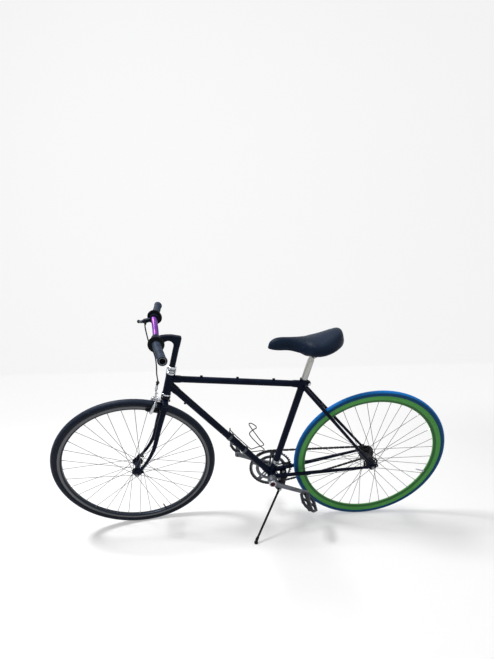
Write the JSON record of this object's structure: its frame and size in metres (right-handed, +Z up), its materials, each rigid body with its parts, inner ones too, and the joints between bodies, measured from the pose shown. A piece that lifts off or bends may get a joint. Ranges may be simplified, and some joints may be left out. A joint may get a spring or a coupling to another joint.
{
  "type": "bicycle",
  "caption": "Single-speed city bicycle with a lugged diamond frame, swept flat bar, front side-pull brake, bottle cage and side stand.",
  "frame": {"origin": "centre of the bounding box in X and Y, on the floor that the tyres and the stand's foot touch", "axes": "+Z up, -X towards the front wheel, +Y towards the rider's right side; the bicycle leans to its left on its stand"},
  "size_m": [1.696, 0.5352, 1.0005],
  "materials": {
    "black_paint": "gloss",
    "black_metal": "satin",
    "chrome": "polished",
    "alloy": "satin",
    "dark_steel": "oiled",
    "green_rim": "anodised, satin",
    "blue_tyre": "matte",
    "black_tyre": "matte",
    "grey_rim": "satin",
    "purple_metal": "anodised, gloss",
    "grip_rubber": "matte",
    "saddle_cover": "matte",
    "pad_rubber": "matte",
    "cable_sleeve": "gloss"
  },
  "bodies": {
    "frame": {"head_tube": "black_paint", "top_tube": "black_paint", "down_tube": "black_paint", "seat_tube": "black_paint", "seat_lug": "black_paint", "bottom_bracket_shell": "black_paint", "left_chain_stay": "black_paint", "right_chain_stay": "black_paint", "left_seat_stay": "black_paint", "right_seat_stay": "black_paint", "brake_bridge": "black_paint", "seat_binder_bolt": "chrome", "lower_headset_cup": "chrome", "upper_headset_cup": "chrome", "left_bottom_bracket_cup": "chrome", "right_bottom_bracket_cup": "chrome", "rear_axle": "alloy", "chain": "dark_steel", "kickstand_bracket": "black_metal", "kickstand_bolt": "black_metal", "bottle_cage": "chrome", "lower_cage_band": "chrome", "upper_cage_band": "chrome"},
    "fork_group": {"fork": "black_paint", "headset_adjusting_race": "chrome", "headset_locknut": "chrome", "front_axle": "alloy", "brake_centre_bolt": "black_metal"},
    "stem_group": {"stem": "black_metal"},
    "handlebar_group": {"handlebar": "purple_metal", "left_grip": "grip_rubber", "right_grip": "grip_rubber", "brake_lever_bracket": "black_metal", "brake_cable": "cable_sleeve"},
    "brake_lever_group": {"brake_lever": "black_metal"},
    "left_brake_group": {"left_brake_arm": "chrome", "left_brake_pad": "pad_rubber"},
    "right_brake_group": {"right_brake_arm": "chrome", "right_brake_pad": "pad_rubber"},
    "front_wheel": {"front_tyre": "black_tyre", "front_rim": "grey_rim", "front_hub": "black_metal", "front_valve": "black_metal"},
    "rear_wheel": {"rear_tyre": "blue_tyre", "rear_rim": "green_rim", "rear_hub": "dark_steel", "rear_valve": "chrome"},
    "sprocket_group": {"rear_sprocket": "dark_steel"},
    "crank": {"crank_spindle": "chrome", "left_crank_arm": "alloy", "right_crank_arm": "alloy", "chainring": "alloy"},
    "left_pedal_group": {"left_pedal": "black_metal"},
    "right_pedal_group": {"right_pedal": "black_metal"},
    "kickstand": {"kickstand_leg": "black_metal", "kickstand_foot": "pad_rubber"},
    "seatpost_group": {"seatpost": "chrome"},
    "saddle_group": {"saddle": "saddle_cover", "saddle_rails": "chrome", "saddle_clamp": "chrome"}
  },
  "joints": [
    {"name": "steering", "type": "hinge", "parent": "frame", "child": "fork_group", "pos_m": [-0.46139, 0.09035, 0.31847], "axis": [0.3163, -0.132, 0.9394], "range_deg": [-81.5, 58.5]},
    {"name": "front_wheel_spin", "type": "hinge", "parent": "fork_group", "child": "front_wheel", "pos_m": [-0.51345, 0.07687, 0.33411], "axis": [0.1893, -0.9616, -0.1988], "continuous": true},
    {"name": "stem_height", "type": "slide", "parent": "fork_group", "child": "stem_group", "axis": [0.3163, -0.132, 0.9394], "range_m": [-0.04, 0.02], "deforming": ["brake_cable"]},
    {"name": "handlebar_tilt", "type": "hinge", "parent": "stem_group", "child": "handlebar_group", "pos_m": [-0.34325, -0.00482, 0.89124], "axis": [-0.1893, 0.9616, 0.1988], "range_deg": [-8, 8], "deforming": ["brake_cable"]},
    {"name": "brake_lever_pull", "type": "hinge", "parent": "handlebar_group", "child": "brake_lever_group", "pos_m": [-0.39742, 0.09891, 0.94654], "axis": [0.4566, 0.1206, -0.8815], "range_deg": [0, 22], "stiffness_Nm_per_rad": 1.5, "springref_deg": -5.73},
    {"name": "left_brake_arm_turn", "type": "hinge", "parent": "fork_group", "child": "left_brake_group", "pos_m": [-0.38211, 0.03517, 0.66085], "axis": [0.9296, 0.2407, -0.2792], "range_deg": [0, 2.2]},
    {"name": "right_brake_arm_turn", "type": "hinge", "parent": "fork_group", "child": "right_brake_group", "pos_m": [-0.3855, 0.03429, 0.66187], "axis": [-0.9296, -0.2407, 0.2792], "range_deg": [0, 2.2]},
    {"name": "rear_wheel_spin", "type": "hinge", "parent": "frame", "child": "rear_wheel", "pos_m": [0.51299, 0.08863, 0.33173], "axis": [0.0001, -0.9903, -0.1392], "continuous": true},
    {"name": "crank_turn", "type": "hinge", "parent": "frame", "child": "crank", "pos_m": [0.07866, 0.09846, 0.26137], "axis": [0.0001, -0.9903, -0.1392], "range_deg": [-30, 250]},
    {"name": "sprocket_turn", "type": "hinge", "parent": "frame", "child": "sprocket_group", "pos_m": [0.51299, 0.08863, 0.33173], "axis": [0.0001, -0.9903, -0.1392], "continuous": true},
    {"name": "left_pedal_spin", "type": "hinge", "parent": "crank", "child": "left_pedal_group", "pos_m": [0.23171, 0.10706, 0.20032], "axis": [0.0001, -0.9903, -0.1392], "continuous": true},
    {"name": "right_pedal_spin", "type": "hinge", "parent": "crank", "child": "right_pedal_group", "pos_m": [-0.07439, 0.08986, 0.32242], "axis": [0.0001, -0.9903, -0.1392], "continuous": true},
    {"name": "kickstand_fold", "type": "hinge", "parent": "frame", "child": "kickstand", "pos_m": [0.10912, 0.06091, 0.20523], "axis": [0.4532, -0.8283, -0.3293], "range_deg": [0, 140]},
    {"name": "seatpost_height", "type": "slide", "parent": "frame", "child": "seatpost_group", "axis": [0.2494, -0.1347, 0.959], "range_m": [-0.07, 0.06]},
    {"name": "saddle_tilt", "type": "hinge", "parent": "seatpost_group", "child": "saddle_group", "pos_m": [0.22617, 0.01877, 0.82855], "axis": [-0.0001, 0.9903, 0.1392], "range_deg": [-10, 10]}
  ],
  "couplings": [
    {"joint": "sprocket_turn", "follows": "crank_turn", "ratio": 3},
    {"joint": "left_brake_arm_turn", "follows": "brake_lever_pull", "ratio": 0.09},
    {"joint": "right_brake_arm_turn", "follows": "brake_lever_pull", "ratio": 0.09}
  ]
}
